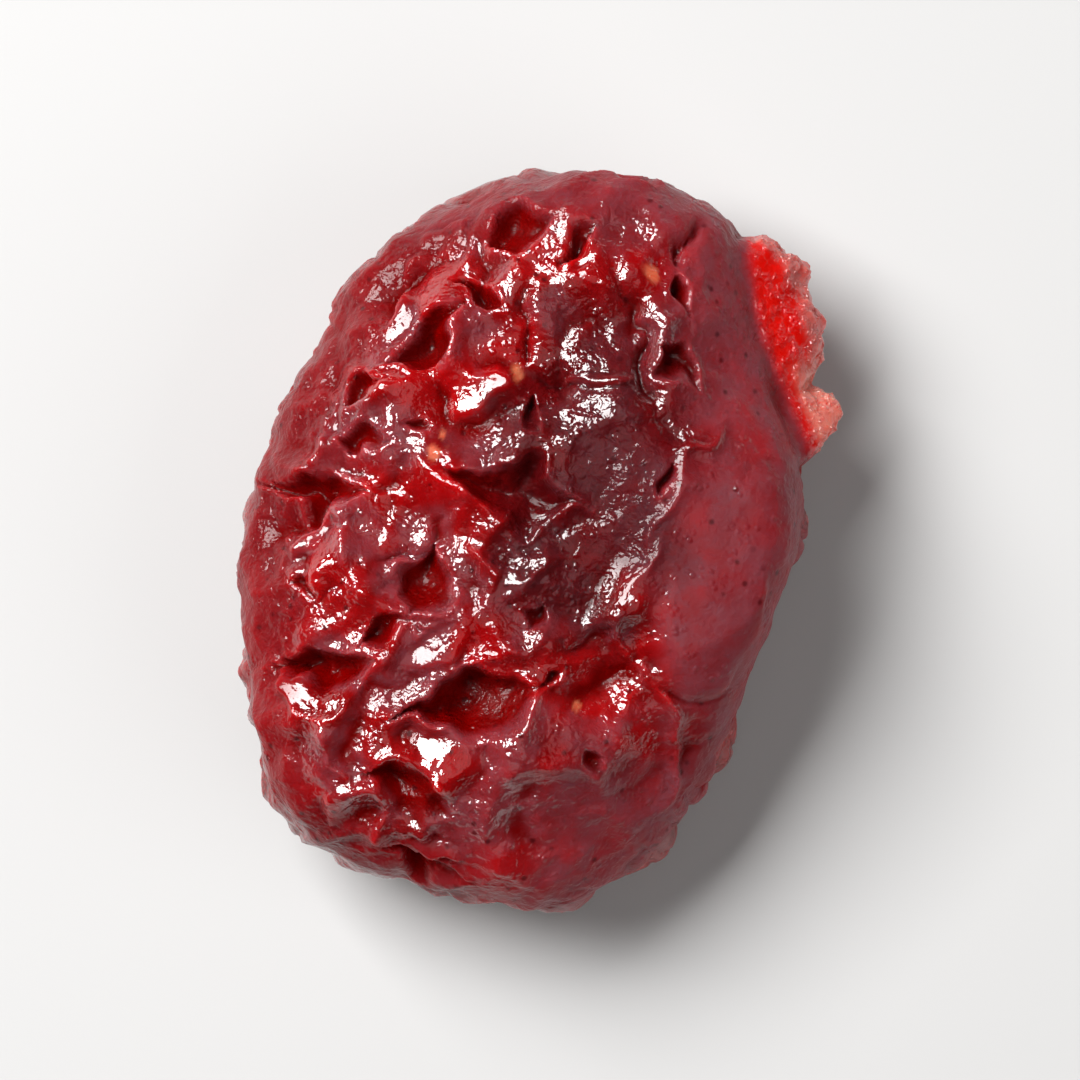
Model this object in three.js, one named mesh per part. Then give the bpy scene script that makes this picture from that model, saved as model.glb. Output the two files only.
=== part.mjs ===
import * as THREE from "three";

// One dried cranberry lying on its flatter side: a berry cut, sweetened and dried until its skin
// crumpled. Millimetres, +Z up, the long axis along Y, the bottom centre at the origin.
// The form is a puffed oval slab. Relief is then added to it: named hollows, facets, creases and
// ridges on the top, crumpled plates all round, furrows down the sides, and a torn lip of flesh.

// Main sizes.
const RIM_RADII = [ // distance from the axis to the rim, one every 15 degrees, turning from +X to +Y
  5.6, 5.9, 6.1, 6.6, 7.8, 8.2, 7.7, 7.4, 6.9, 6.3, 6.2, 6.0,
  6.2, 6.4, 7.0, 7.9, 7.9, 7.7, 7.9, 7.3, 6.5, 5.8, 5.3, 5.2,
];
const TOP_RISE = 3.0; // height of the top above the rim
const BELLY_FALL = 2.9; // depth of the underside below the rim
const REST_DEPTH = 2.8; // the underside is pressed flat at this depth
const REST_RADIUS = 1.5; // half width of the flat spot that the berry lies on
const REST_STRETCH = 1.6; // the flat spot's length over its width
const TOES = [[2.4, 3.4], [-2.4, 3.4], [-2.4, -3.4], [2.4, -3.4]]; // wrinkles that it also stands on
const TOE_RADIUS = 0.8;
const TOE_CLEARANCE = 0.03; // height of the rest of the underside above the ground
const FULLNESS = 2.8; // 2 is an ellipsoid, more is puffier
const RIM_WAVE = 0.35; // how far the rim rises and falls on its way round

// Torn flesh that stands out beyond the skin: direction and half spread in degrees, reach in mm.
const LIP_LOBES = [
  { direction: 41, spread: 16, reach: 1.4 },
  { direction: 24, spread: 8.5, reach: 1.05 },
];
const LIP_HEIGHT = 0.1; // height of the lip's edge above the rim
const LIP_THICKNESS = 0.95;
const GROOVE_HEIGHT = 1.1; // height of the groove between the lip and the skin
const GROOVE_DEPTH = 0.22;

// Lens-shaped hollows of the top: place, turn in degrees, half length, half width and depth.
const HOLLOWS = [
  // along the left side
  [-4.5, 1.0, -3, 1.15, 0.46, 0.45],
  [-4.5, -2.7, 6, 1.2, 0.5, 0.5],
  [-3.5, 3.0, 20, 0.6, 0.28, 0.32],
  [-2.3, 4.3, 42, 1.05, 0.36, 0.45],
  [-3.6, 2.0, -10, 0.66, 0.3, 0.32],
  [-2.6, 2.4, -20, 0.35, 0.18, 0.25],
  [-4.9, -0.8, 0, 0.45, 0.13, 0.18],
  // towards the upper end
  [-0.3, 6.5, 12, 0.8, 0.45, 0.42],
  [0.8, 6.2, 40, 0.8, 0.22, 0.38],
  [-1.1, 5.1, -21, 0.7, 0.2, 0.32],
  [1.6, 7.7, 0, 1.1, 0.15, 0.22],
  [3.1, 5.1, -65, 0.62, 0.26, 0.38],
  [2.9, 3.7, -50, 0.6, 0.34, 0.32],
  [-0.2, 2.5, -60, 0.5, 0.2, 0.24],
  // in the middle
  [-0.4, 1.0, -16, 1.5, 0.65, 0.5],
  [2.7, 1.1, 80, 0.24, 0.15, 0.2],
  [-2.4, -0.9, 80, 0.85, 0.55, 0.42],
  [-3.1, -2.0, 10, 0.8, 0.28, 0.32],
  [-0.1, -1.6, 60, 0.36, 0.25, 0.26],
  [0.3, -3.0, 30, 0.32, 0.2, 0.24],
  // towards the lower end
  [-1.3, -3.4, 10, 1.5, 0.75, 0.6],
  [-2.7, -5.3, -25, 1.05, 0.62, 0.38],
  [-2.3, -7.0, -10, 1.15, 0.2, 0.3],
  [1.0, -4.6, 20, 0.35, 0.25, 0.2],
];

// Folds of the top that stand up between the hollows: place, turn, half length, half width, height.
const MOUNDS = [
  [-4.5, 1.9, 30, 0.6, 0.35, 0.16],
  [-4.3, -0.3, 60, 0.8, 0.55, 0.2],
  [-2.2, 6.2, 40, 1.0, 0.3, 0.14],
  [-4.0, -5.5, 60, 0.8, 0.4, 0.16],
];

// Flat facets of the top: place, turn, half length, half width, and how far the middle stands
// above the plain berry. All but the large one on the right face the upper left.
const RIGHT_FACET = [3.7, -0.9, 80, 2.3, 1.15, 0.05];
const RIGHT_FACET_RISE = [-0.26, 0.02]; // how much it rises for each millimetre along X and along Y
const FACET_RISE = [0.28, -0.22];
const FACETS = [
  [-2.1, -2.25, 38, 0.75, 0.34, 0.12],
  [-2.0, -4.45, -18, 0.85, 0.38, 0.12],
  [-1.2, 3.15, 20, 0.6, 0.42, 0.08],
  [-4.85, 0.1, 30, 0.42, 0.3, 0.1],
  [-4.35, 2.45, 80, 0.42, 0.16, 0.08],
  [-2.15, -6.45, -10, 0.5, 0.2, 0.0],
  [1.0, 6.0, 50, 0.55, 0.17, 0.1],
  [-0.5, -0.9, 45, 0.42, 0.24, 0.12],
  [-5.0, -3.2, 0, 0.5, 0.2, 0.0],
  [-3.0, 4.8, 60, 0.6, 0.22, 0.08],
  [1.4, 3.45, 5, 0.55, 0.12, 0.08],
  [2.0, -0.9, 75, 0.5, 0.14, 0.08],
];
const FLATNESS = 0.75; // how much of the other relief a facet takes away

// Narrow creases of the top. Each follows a curve through its points.
const CREASES = [
  { path: [[-0.3, 3.3], [0.7, 3.3], [1.7, 3.3]], depth: 0.26, width: 0.12 },
  { path: [[1.5, 6.2], [2.0, 5.2], [2.3, 4.4], [2.2, 3.7], [2.7, 2.4]], depth: 0.34, width: 0.13 },
  { path: [[3.7, 6.9], [3.2, 6.4], [2.7, 5.7]], depth: 0.4, width: 0.13 },
  { path: [[-0.3, 3.6], [-0.1, 4.6], [-0.2, 5.7]], depth: 0.3, width: 0.13 },
  { path: [[2.0, -2.4], [2.4, -3.1], [3.3, -3.3], [4.2, -2.7]], depth: 0.2, width: 0.12 },
  { path: [[-3.7, -0.7], [-2.3, -0.1], [-1.7, 0.7]], depth: 0.25, width: 0.12 },
  { path: [[0.3, -2.0], [0.9, -2.4], [1.7, -1.9]], depth: 0.18, width: 0.1 },
];

// Sharp crests of the top. The ground on the right of a path lies lower by its drop.
const RIDGES = [
  {
    path: [
      [3.0, 0.6], [2.2, -0.4], [1.9, -1.3], [1.7, -1.9], [2.0, -2.6], [2.5, -3.3], [3.0, -4.4], [2.3, -6.2],
    ],
    height: 0.24, width: 0.16, drop: 0.1,
  },
  { path: [[4.3, 2.6], [3.2, 1.8], [3.0, 1.0], [2.4, 0.2], [2.1, -0.3]], height: 0.18, width: 0.12, drop: 0 },
  { path: [[-3.8, -5.0], [-3.4, -5.7], [-3.3, -6.8]], height: 0.26, width: 0.14, drop: 0.12 },
  {
    path: [[-1.7, 6.1], [-0.7, 7.0], [0.3, 7.3], [1.3, 7.4], [3.0, 7.8]],
    height: 0.2, width: 0.16, drop: -0.12,
  },
  {
    path: [[-1.4, 0.0], [-1.0, -0.7], [-0.4, -0.9], [0.1, -0.7], [0.3, 0.0]],
    height: 0.22, width: 0.12, drop: 0,
  },
  { path: [[-2.3, -2.9], [-1.5, -2.5], [-0.4, -2.3], [0.3, -1.7]], height: 0.2, width: 0.12, drop: 0 },
  { path: [[-5.5, -3.0], [-4.6, -3.8], [-3.8, -3.1]], height: 0.24, width: 0.12, drop: 0 },
  { path: [[-4.6, -3.8], [-4.3, -4.8], [-3.8, -5.0]], height: 0.22, width: 0.12, drop: 0 },
  { path: [[0.3, 6.1], [0.9, 5.9], [1.4, 6.3]], height: 0.2, width: 0.1, drop: 0 },
];

// Relief all round.
const SWELL = { height: 0.13, wavelength: 4.5 };
const CREST_PLATES = { count: 240, dish: 0.17, slope: 0.31 };
const CREASE_PLATES = { count: 260, dish: 0.17, slope: 0.26 };
const SIDE_FOLDS = { depth: 0.36, spacing: 3.4 };
const SOFTENING = 1; // rounds of averaging, which takes out what is finer than the mesh

// Mesh.
const QUADS_PER_EDGE = 31; // of the cube that is blown up into the berry
const TOP_SHARE = 0.2; // how far the mesh is drawn towards the top, where the detail is
const MESH_RADIUS = 6.9;
const MESH_HEIGHT = 3.6;

const SKIN_COLOUR = 0x78282c;

function smooth(from, to, value) {
  const t = Math.min(Math.max((value - from) / (to - from), 0), 1);
  return t * t * (3 - 2 * t);
}

function catmullRom(a, b, c, d, t) {
  return 0.5 * (2 * b + (c - a) * t + (2 * a - 5 * b + 4 * c - d) * t * t + (3 * b - a - 3 * c + d) * t ** 3);
}

// A small generator of numbers from 0 to 1 that repeats for the same seed.
function seeded(seed) {
  let state = seed;
  return () => {
    state = (state + 0x6d2b79f5) | 0;
    let t = Math.imul(state ^ (state >>> 15), state | 1);
    t ^= t + Math.imul(t ^ (t >>> 7), t | 61);
    return ((t ^ (t >>> 14)) >>> 0) / 4294967296;
  };
}

// Noise, about -1 to 1, from plane waves in random directions: smooth ones, or zigzags.
function noise(wavelength, seed, count = 10, kinked = false) {
  const draw = seeded(seed);
  const waves = [];
  for (let i = 0; i < count; i++) {
    const z = 2 * draw() - 1;
    const turn = 2 * Math.PI * draw();
    const flat = Math.sqrt(1 - z * z);
    const k = (2 * Math.PI) / (wavelength * (0.7 + 0.8 * draw()));
    const direction = new THREE.Vector3(flat * Math.cos(turn), flat * Math.sin(turn), z);
    waves.push({ vector: direction.multiplyScalar(k), phase: 2 * Math.PI * draw() });
  }
  const scale = 0.7 * Math.sqrt(2 / count);
  const shape = kinked ? (wave) => (Math.asin(wave) * 2) / Math.PI : (wave) => wave;
  return (p) => scale * waves.reduce((sum, w) => sum + shape(Math.sin(p.dot(w.vector) + w.phase)), 0);
}

// Moves a place by noise, so that what is drawn there wanders.
function wander(reach, wavelength, seed) {
  const shifts = [noise(wavelength, seed), noise(wavelength, seed + 1), noise(wavelength, seed + 2)];
  return (p) => new THREE.Vector3(...shifts.map((shift) => reach * shift(p))).add(p);
}

function rimRadius(angle) {
  const count = RIM_RADII.length;
  const place = THREE.MathUtils.euclideanModulo((angle / (2 * Math.PI)) * count, count);
  const first = Math.floor(place);
  const near = [-1, 0, 1, 2].map((step) => RIM_RADII[(first + step + count) % count]);
  return catmullRom(...near, place - first);
}

function rimWave(angle, outward) {
  return RIM_WAVE * smooth(0.3, 1, outward) * (Math.sin(2 * angle + 0.6) + 0.57 * Math.sin(3 * angle + 2));
}

// The berry without its relief, in a direction from its middle. The rim lies about at height 0.
function plainBerry(direction) {
  const p = direction.clone().multiply(new THREE.Vector3(MESH_RADIUS, MESH_RADIUS, MESH_HEIGHT));
  const angle = Math.atan2(p.y, p.x);
  const radius = rimRadius(angle);
  const height = p.z > 0 ? TOP_RISE : BELLY_FALL;
  const size = (Math.hypot(p.x, p.y) / radius) ** FULLNESS + (Math.abs(p.z) / height) ** FULLNESS;
  p.multiplyScalar(size ** (-1 / FULLNESS));
  p.z += rimWave(angle, Math.hypot(p.x, p.y) / radius);
  return p;
}

// Height of the plain berry's top.
function plainTop(x, y) {
  const angle = Math.atan2(y, x);
  const outward = Math.min(Math.hypot(x, y) / rimRadius(angle), 1);
  return TOP_RISE * (1 - outward ** FULLNESS) ** (1 / FULLNESS) + rimWave(angle, outward);
}

// A dish, steepest at its upper left. Outside it the ground rises a little towards the rim.
function hollowHeight([atX, atY, turn, halfLength, halfWidth, depth], x, y) {
  const angle = THREE.MathUtils.degToRad(turn);
  const s = ((x - atX) * Math.cos(angle) + (y - atY) * Math.sin(angle)) / halfLength;
  const t = ((y - atY) * Math.cos(angle) - (x - atX) * Math.sin(angle)) / halfWidth;
  const lens = Math.max(1 - Math.min(Math.abs(s), 1) ** 1.7, 0.16);
  const outward = (Math.abs(s) ** 1.5 + Math.abs(t / lens) ** 1.5) ** (1 / 1.5) / 1.25;
  const lean = THREE.MathUtils.clamp((y - atY - x + atX) / (1.4 * halfWidth), -1, 1);
  const dish = Math.max(1 - outward ** 1.6, 0) * (1 + 0.4 * lean);
  const fade = Math.exp(-Math.max(outward - 1, 0) / 0.6 - 2.5 * Math.max(Math.hypot(s, t) - 1, 0));
  return depth * (0.25 * fade - 1.5 * dish);
}

// The nearest place on a curve: how far off it is, how far along, and whether it is to the left.
function curveThrough(path) {
  const points = path.map(([x, y]) => new THREE.Vector3(x, y, 0));
  const curve = new THREE.CatmullRomCurve3(points, false, "catmullrom", 0.5);
  const fine = curve.getPoints(6 * (path.length - 1));
  const lengths = fine.slice(1).map((point, i) => point.distanceTo(fine[i]));
  const total = lengths.reduce((sum, length) => sum + length, 0);
  return (x, y) => {
    let best = { distance: Infinity };
    let passed = 0;
    lengths.forEach((length, i) => {
      const ux = (fine[i + 1].x - fine[i].x) / length;
      const uy = (fine[i + 1].y - fine[i].y) / length;
      const dx = x - fine[i].x;
      const dy = y - fine[i].y;
      const t = Math.min(Math.max(dx * ux + dy * uy, 0), length);
      const distance = Math.hypot(dx - t * ux, dy - t * uy);
      if (distance < best.distance) {
        best = { distance, place: (passed + t) / total, left: ux * dy - uy * dx > 0 };
      }
      passed += length;
    });
    return best;
  };
}

function creaseHeight({ path, depth, width }) {
  const nearest = curveThrough(path);
  return (x, y) => {
    const { distance, place } = nearest(x, y);
    const taper = smooth(0, 0.25, place) * smooth(0, 0.25, 1 - place);
    return taper * depth * (0.2 * Math.exp(-distance / (4 * width)) - Math.exp(-distance / width));
  };
}

function ridgeHeight({ path, height, width, drop }) {
  const nearest = curveThrough(path);
  return (x, y) => {
    const { distance, place, left } = nearest(x, y);
    const taper = smooth(0, 0.2, place) * smooth(0, 0.2, 1 - place);
    const crest = Math.exp(-distance / width);
    const step = left ? 0 : drop * (1 - crest) * Math.exp(-((distance / (6 * width)) ** 2));
    return taper * (height * crest - step);
  };
}

// Dished, tilted facets that meet in sharp crests: the lowest of many shallow bowls.
function plates({ count, dish, slope }, seed) {
  const draw = seeded(seed);
  const random = () => new THREE.Vector3(draw() - 0.5, draw() - 0.5, draw() - 0.5);
  const planes = [];
  for (let i = 0; i < count; i++) {
    const z = 1 - (2 * i + 1) / count;
    const flat = Math.sqrt(1 - z * z);
    const turn = i * Math.PI * (3 - Math.sqrt(5));
    const direction = new THREE.Vector3(flat * Math.cos(turn), flat * Math.sin(turn), z);
    const site = plainBerry(direction.addScaledVector(random(), 2.2 / Math.sqrt(count)).normalize());
    const tilt = random().multiplyScalar(2 * slope).addScaledVector(site, -2 * dish);
    planes.push({ tilt, height: -site.dot(tilt) - dish * site.lengthSq() });
  }
  return (p) => dish * p.lengthSq() + Math.min(...planes.map((plane) => p.dot(plane.tilt) + plane.height));
}

// How crumpled the skin is: 1 on the left, below and on the sides, less in the middle, and little on
// the top's taut right, at its upper end and where it turns down.
function crumple({ x, y, z }) {
  const outward = Math.hypot(x, y) / rimRadius(Math.atan2(y, x));
  const rightPlate = smooth(1.4, 2.8, x + 0.25 * y) * smooth(3.4, 2, Math.abs(y + 1.2));
  const upperRight = smooth(2, 3.5, x) * smooth(1, 3, y);
  const upperEnd = smooth(6, 7.2, y);
  const lowerRight = smooth(-3.8, -5.2, y) * smooth(-1, 0.8, x);
  const middle = smooth(1.3, 0.7, Math.hypot((x - 1.6) / 1.1, (y - 1) / 1.9));
  const turnedDown = smooth(0.85, 1, outward) * smooth(0, 1.2, z);
  const taut = 0.9 * rightPlate + 0.7 * upperRight + 0.6 * upperEnd + 0.65 * lowerRight + 0.5 * middle;
  return Math.max(1 - taut * smooth(-1.5, 0.5, z) - 0.4 * turnedDown, 0.15);
}

// Where on the top a place is, wandering a little so that nothing drawn there is too regular.
function drawnPlace() {
  const far = [noise(1.7, 11, 4, true), noise(1.7, 12, 4, true)];
  const near = [noise(0.8, 13, 4, true), noise(0.8, 14, 4, true)];
  return (p) => [p.x, p.y].map((value, i) => value + 0.17 * far[i](p) + 0.09 * near[i](p));
}

function topRelief() {
  const place = drawnPlace();
  const strokes = [
    ...HOLLOWS.map((hollow) => (x, y) => hollowHeight(hollow, x, y)),
    ...MOUNDS.map((mound) => (x, y) => -hollowHeight(mound, x, y)),
    ...CREASES.map(creaseHeight),
    ...RIDGES.map(ridgeHeight),
  ];
  return (p) => {
    const [x, y] = place(p);
    const height = strokes.reduce((sum, stroke) => sum + stroke(x, y), 0);
    return height * smooth(-0.2, 1.4, p.z);
  };
}

// How much of a place belongs to a facet, and the relief that makes the facet flat there.
function facets() {
  const place = drawnPlace();
  const rows = [[...RIGHT_FACET, RIGHT_FACET_RISE], ...FACETS.map((facet) => [...facet, FACET_RISE])];
  return (p) => {
    const [x, y] = place(p);
    let share = 0;
    let relief = 0;
    for (const [atX, atY, turn, halfLength, halfWidth, level, rise] of rows) {
      const angle = THREE.MathUtils.degToRad(turn);
      const s = ((x - atX) * Math.cos(angle) + (y - atY) * Math.sin(angle)) / halfLength;
      const t = ((y - atY) * Math.cos(angle) - (x - atX) * Math.sin(angle)) / halfWidth;
      const inside = smooth(1.45, 0.75, Math.hypot(s, t)) * smooth(0.2, 1.4, p.z);
      const plane = plainTop(atX, atY) + level + rise[0] * (p.x - atX) + rise[1] * (p.y - atY);
      const above = THREE.MathUtils.clamp(plane - plainTop(p.x, p.y), -0.4, 0.4);
      relief += inside * (above - relief);
      share = Math.max(share, inside);
    }
    return { share, relief };
  };
}

// Long furrows that run down the sides and under the berry.
function sideFolds() {
  const bend = wander(0.7, 3.6, 65);
  const across = noise(SIDE_FOLDS.spacing, 61);
  const stretched = new THREE.Vector3(1, 1, 0.8);
  return (p) => {
    const furrow = Math.exp(-Math.abs(across(bend(p).multiply(stretched))) / 0.35);
    return SIDE_FOLDS.depth * (0.4 - furrow) * smooth(0.8, -0.6, p.z);
  };
}

function skinRelief() {
  const swell = noise(SWELL.wavelength, 51);
  const bend = wander(0.3, 2.2, 21);
  const crests = plates(CREST_PLATES, 5);
  const creases = plates(CREASE_PLATES, 7);
  const top = topRelief();
  const folds = sideFolds();
  const facet = facets();
  return (p) => {
    const bent = bend(p);
    const large = crests(bent) - creases(bent);
    const relief = SWELL.height * swell(p) + top(p) + crumple(p) * large + folds(p);
    const flat = facet(p);
    return relief + FLATNESS * flat.share * (flat.relief - relief);
  };
}

// How far the torn flesh stands out sideways, less the groove above it.
function tornLip() {
  const ragged = noise(0.8, 71);
  return (p) => {
    const angle = THREE.MathUtils.radToDeg(Math.atan2(p.y, p.x));
    const reach = Math.max(...LIP_LOBES.map((lobe) => {
      const off = Math.abs(angle - lobe.direction) / lobe.spread;
      return lobe.reach * Math.max(1 - off ** 2.5, 0);
    }));
    const edge = Math.exp(-(Math.abs((p.z - LIP_HEIGHT) / LIP_THICKNESS) ** 2.2));
    const groove = Math.exp(-(((p.z - GROOVE_HEIGHT) / 0.3) ** 2));
    return reach * edge * (1 + 0.09 * ragged(p)) - GROOVE_DEPTH * Math.min(reach, 1) * groove;
  };
}

// Unit directions on a cube that is blown up to a sphere, and the quads between them.
function cubeSphere(n) {
  const places = new Map();
  const directions = [];
  const quads = [];
  const corner = (grid) => {
    const key = grid.join();
    if (!places.has(key)) {
      places.set(key, directions.length);
      const spread = grid.map((g) => Math.tan(((2 * g) / n - 1) * (Math.PI / 4)));
      directions.push(new THREE.Vector3(...spread).normalize());
    }
    return places.get(key);
  };
  for (let axis = 0; axis < 3; axis++) {
    for (const side of [0, n]) {
      for (let a = 0; a < n; a++) {
        for (let b = 0; b < n; b++) {
          const quad = [[a, b], [a + 1, b], [a + 1, b + 1], [a, b + 1]].map(([u, v]) => {
            const grid = [0, 0, 0];
            grid[axis] = side;
            grid[(axis + 1) % 3] = u;
            grid[(axis + 2) % 3] = v;
            return corner(grid);
          });
          quads.push(side ? quad : quad.reverse());
        }
      }
    }
  }
  return { directions, quads };
}

// Turns a direction towards the top, so that the top gets more of the mesh.
function crowdToTop(direction) {
  const polar = Math.acos(THREE.MathUtils.clamp(direction.z, -1, 1));
  const turned = polar - TOP_SHARE * Math.sin(polar);
  const around = Math.atan2(direction.y, direction.x);
  const flat = Math.sin(turned);
  return new THREE.Vector3(flat * Math.cos(around), flat * Math.sin(around), Math.cos(turned));
}

// Averages each corner's value with its neighbours'.
function soften(values, quads) {
  const sums = values.map(() => 0);
  const counts = values.map(() => 0);
  for (const quad of quads) {
    quad.forEach((corner, i) => {
      sums[corner] += values[quad[(i + 1) % 4]] + values[quad[(i + 3) % 4]];
      counts[corner] += 2;
    });
  }
  return values.map((value, i) => 0.5 * value + (0.5 * sums[i]) / counts[i]);
}

// Presses the middle of the underside flat, and draws a wrinkle down at each toe.
function pressFlat(p) {
  if (p.z < 0) {
    const outward = Math.hypot(p.x, p.y / REST_STRETCH) / REST_RADIUS;
    const toe = Math.min(...TOES.map(([x, y]) => Math.hypot(p.x - x, p.y - y))) / TOE_RADIUS;
    p.z -= 0.5 * smooth(1.6, 1, outward) + 0.7 * Math.exp(-toe * toe);
    p.z = Math.max(p.z, outward < 1 ? -REST_DEPTH : TOE_CLEARANCE - REST_DEPTH);
  }
}

// Each toe touches the ground with one point, so that the berry stands still on four corners.
function standOnToes(points) {
  const underside = points.filter((p) => p.z < 0);
  for (const [x, y] of TOES) {
    const off = (p) => Math.hypot(p.x - x, p.y - y);
    const tip = underside.reduce((best, p) => (off(p) < off(best) ? p : best));
    tip.z = -REST_DEPTH;
  }
}

function geometryFrom(points, quads) {
  const geometry = new THREE.BufferGeometry().setFromPoints(points);
  geometry.setIndex(quads.flatMap(([a, b, c, d]) => [a, b, c, a, c, d]));
  geometry.computeVertexNormals();
  return geometry;
}

function berryGeometry() {
  const { directions, quads } = cubeSphere(QUADS_PER_EDGE);
  const points = directions.map((direction) => plainBerry(crowdToTop(direction)));
  const plainNormals = geometryFrom(points, quads).getAttribute("normal");
  let relief = points.map(skinRelief());
  let lip = points.map(tornLip());
  for (let round = 0; round < SOFTENING; round++) {
    relief = soften(relief, quads);
    lip = soften(lip, quads);
  }
  const shaped = points.map((point, i) => {
    const normal = new THREE.Vector3().fromBufferAttribute(plainNormals, i);
    const outward = new THREE.Vector3(point.x, point.y, 0).normalize();
    const p = point.clone().addScaledVector(normal, relief[i]).addScaledVector(outward, lip[i]);
    pressFlat(p);
    return p;
  });
  standOnToes(shaped);
  const geometry = geometryFrom(shaped, quads);
  geometry.computeBoundingBox();
  const middle = geometry.boundingBox.getCenter(new THREE.Vector3());
  return geometry.translate(-middle.x, -middle.y, -geometry.boundingBox.min.z);
}

const skin = new THREE.MeshStandardMaterial({ color: SKIN_COLOUR, roughness: 0.3, metalness: 0 });
skin.name = "cranberry_skin";

const berry = new THREE.Mesh(berryGeometry(), skin);
berry.name = "dried_cranberry";

const group = new THREE.Group();
group.name = "dried_cranberry_part";
group.add(berry);

export default group;
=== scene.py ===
"""A dried cranberry lying on a pale floor, seen from straight above as in the photograph.

The berry is one closed skin in the part's own shape, with finer relief on it. Lengths of the
berry are in millimetres until its mesh is made; everything else is in metres.
"""

import bpy
import numpy as np
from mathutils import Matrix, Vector


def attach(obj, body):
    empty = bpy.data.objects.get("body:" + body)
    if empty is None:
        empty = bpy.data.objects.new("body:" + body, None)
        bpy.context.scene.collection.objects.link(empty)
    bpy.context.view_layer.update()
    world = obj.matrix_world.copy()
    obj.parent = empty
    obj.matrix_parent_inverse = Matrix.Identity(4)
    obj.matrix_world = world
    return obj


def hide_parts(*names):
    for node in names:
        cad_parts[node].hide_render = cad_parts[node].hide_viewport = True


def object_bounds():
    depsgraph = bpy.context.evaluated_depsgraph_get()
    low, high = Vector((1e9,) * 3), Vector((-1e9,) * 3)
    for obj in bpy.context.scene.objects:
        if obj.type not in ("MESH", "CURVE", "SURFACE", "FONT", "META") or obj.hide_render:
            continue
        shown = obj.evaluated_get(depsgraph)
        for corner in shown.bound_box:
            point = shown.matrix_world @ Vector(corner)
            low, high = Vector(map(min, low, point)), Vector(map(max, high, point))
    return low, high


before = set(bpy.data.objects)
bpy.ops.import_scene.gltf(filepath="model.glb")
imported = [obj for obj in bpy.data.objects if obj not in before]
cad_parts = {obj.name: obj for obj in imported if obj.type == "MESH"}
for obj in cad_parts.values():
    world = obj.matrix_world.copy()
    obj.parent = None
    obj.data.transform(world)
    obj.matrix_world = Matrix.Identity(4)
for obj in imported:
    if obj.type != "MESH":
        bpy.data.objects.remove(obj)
cad_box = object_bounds()

MM = 0.001
CURVE_STEPS = 6  # straight pieces between two points of a curve

# The berry's form, as the part has it. The radii of its rim go round from +X, 15 degrees apart.
RIM_RADII = [
    5.6, 5.9, 6.1, 6.6, 7.8, 8.2, 7.7, 7.4, 6.9, 6.3, 6.2, 6.0,
    6.2, 6.4, 7.0, 7.9, 7.9, 7.7, 7.9, 7.3, 6.5, 5.8, 5.3, 5.2,
]
TOP_RISE = 3.0
BELLY_FALL = 2.9
FULLNESS = 2.8  # 2 would make its section an ellipse, more makes it boxier
RIM_WAVE = 0.35  # how far the rim rises and falls
REST_DEPTH = 2.8  # how far below the rim the berry's flat spot lies
REST_RADIUS = 1.5
REST_STRETCH = 1.6
TOES = [(2.4, 3.4), (-2.4, 3.4), (-2.4, -3.4), (2.4, -3.4)]  # wrinkles drawn down to the ground
TOE_RADIUS = 0.8

# The torn lip of flesh at the upper right, and the groove between it and the skin above.
LIP_LOBES = [(41, 16, 1.4), (24, 8.5, 1.05)]  # direction and half spread in degrees, reach
LIP_HEIGHT = 0.1
LIP_THICKNESS = 0.95
LIP_RAGGED = 0.09
GROOVE_HEIGHT = 1.1
GROOVE_THICKNESS = 0.3
GROOVE_DEPTH = 0.22

# The shape that all hollows share.
HOLLOW_ENDS = 1.7  # how blunt the two ends are
HOLLOW_CORNERS = 1.5  # 1 would make the outline a diamond, 2 an oval
HOLLOW_WALL = 1.6  # 1 would make the dish a cone, 2 a round bowl
HOLLOW_LEAN = 0.4  # how much deeper it is at the upper left
HOLLOW_BRIM = 0.25  # how high the ground round it rises, as a share of its depth

# Hollows of the top: place, turn in degrees, half length, half width and depth.
HOLLOWS = [
    # along the left side
    (-4.5, 1.0, -3, 1.15, 0.46, 0.45),
    (-4.5, -2.7, 6, 1.2, 0.5, 0.5),
    (-3.5, 3.0, 20, 0.6, 0.28, 0.32),
    (-2.3, 4.3, 42, 1.05, 0.36, 0.45),
    (-3.6, 2.0, -10, 0.66, 0.3, 0.32),
    (-2.6, 2.4, -20, 0.35, 0.18, 0.25),
    (-4.9, -0.8, 0, 0.45, 0.13, 0.18),
    # towards the upper end
    (-0.3, 6.5, 12, 0.8, 0.45, 0.42),
    (0.8, 6.2, 40, 0.8, 0.22, 0.38),
    (-1.1, 5.1, -21, 0.7, 0.2, 0.32),
    (1.6, 7.7, 0, 1.1, 0.15, 0.22),
    (3.1, 5.1, -65, 0.62, 0.26, 0.38),
    (2.9, 3.7, -50, 0.6, 0.34, 0.32),
    (-0.2, 2.5, -60, 0.5, 0.2, 0.24),
    # in the middle
    (-0.4, 1.0, -16, 1.5, 0.65, 0.5),
    (2.7, 1.1, 80, 0.24, 0.15, 0.2),
    (-2.4, -0.9, 80, 0.85, 0.55, 0.42),
    (-3.1, -2.0, 10, 0.8, 0.28, 0.32),
    (-0.1, -1.6, 60, 0.36, 0.25, 0.26),
    (0.3, -3.0, 30, 0.32, 0.2, 0.24),
    # towards the lower end
    (-1.3, -3.4, 10, 1.5, 0.75, 0.6),
    (-2.7, -5.3, -25, 1.05, 0.62, 0.38),
    (-2.3, -7.0, -10, 1.15, 0.2, 0.3),
    (1.0, -4.6, 20, 0.35, 0.25, 0.2),
]

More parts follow.
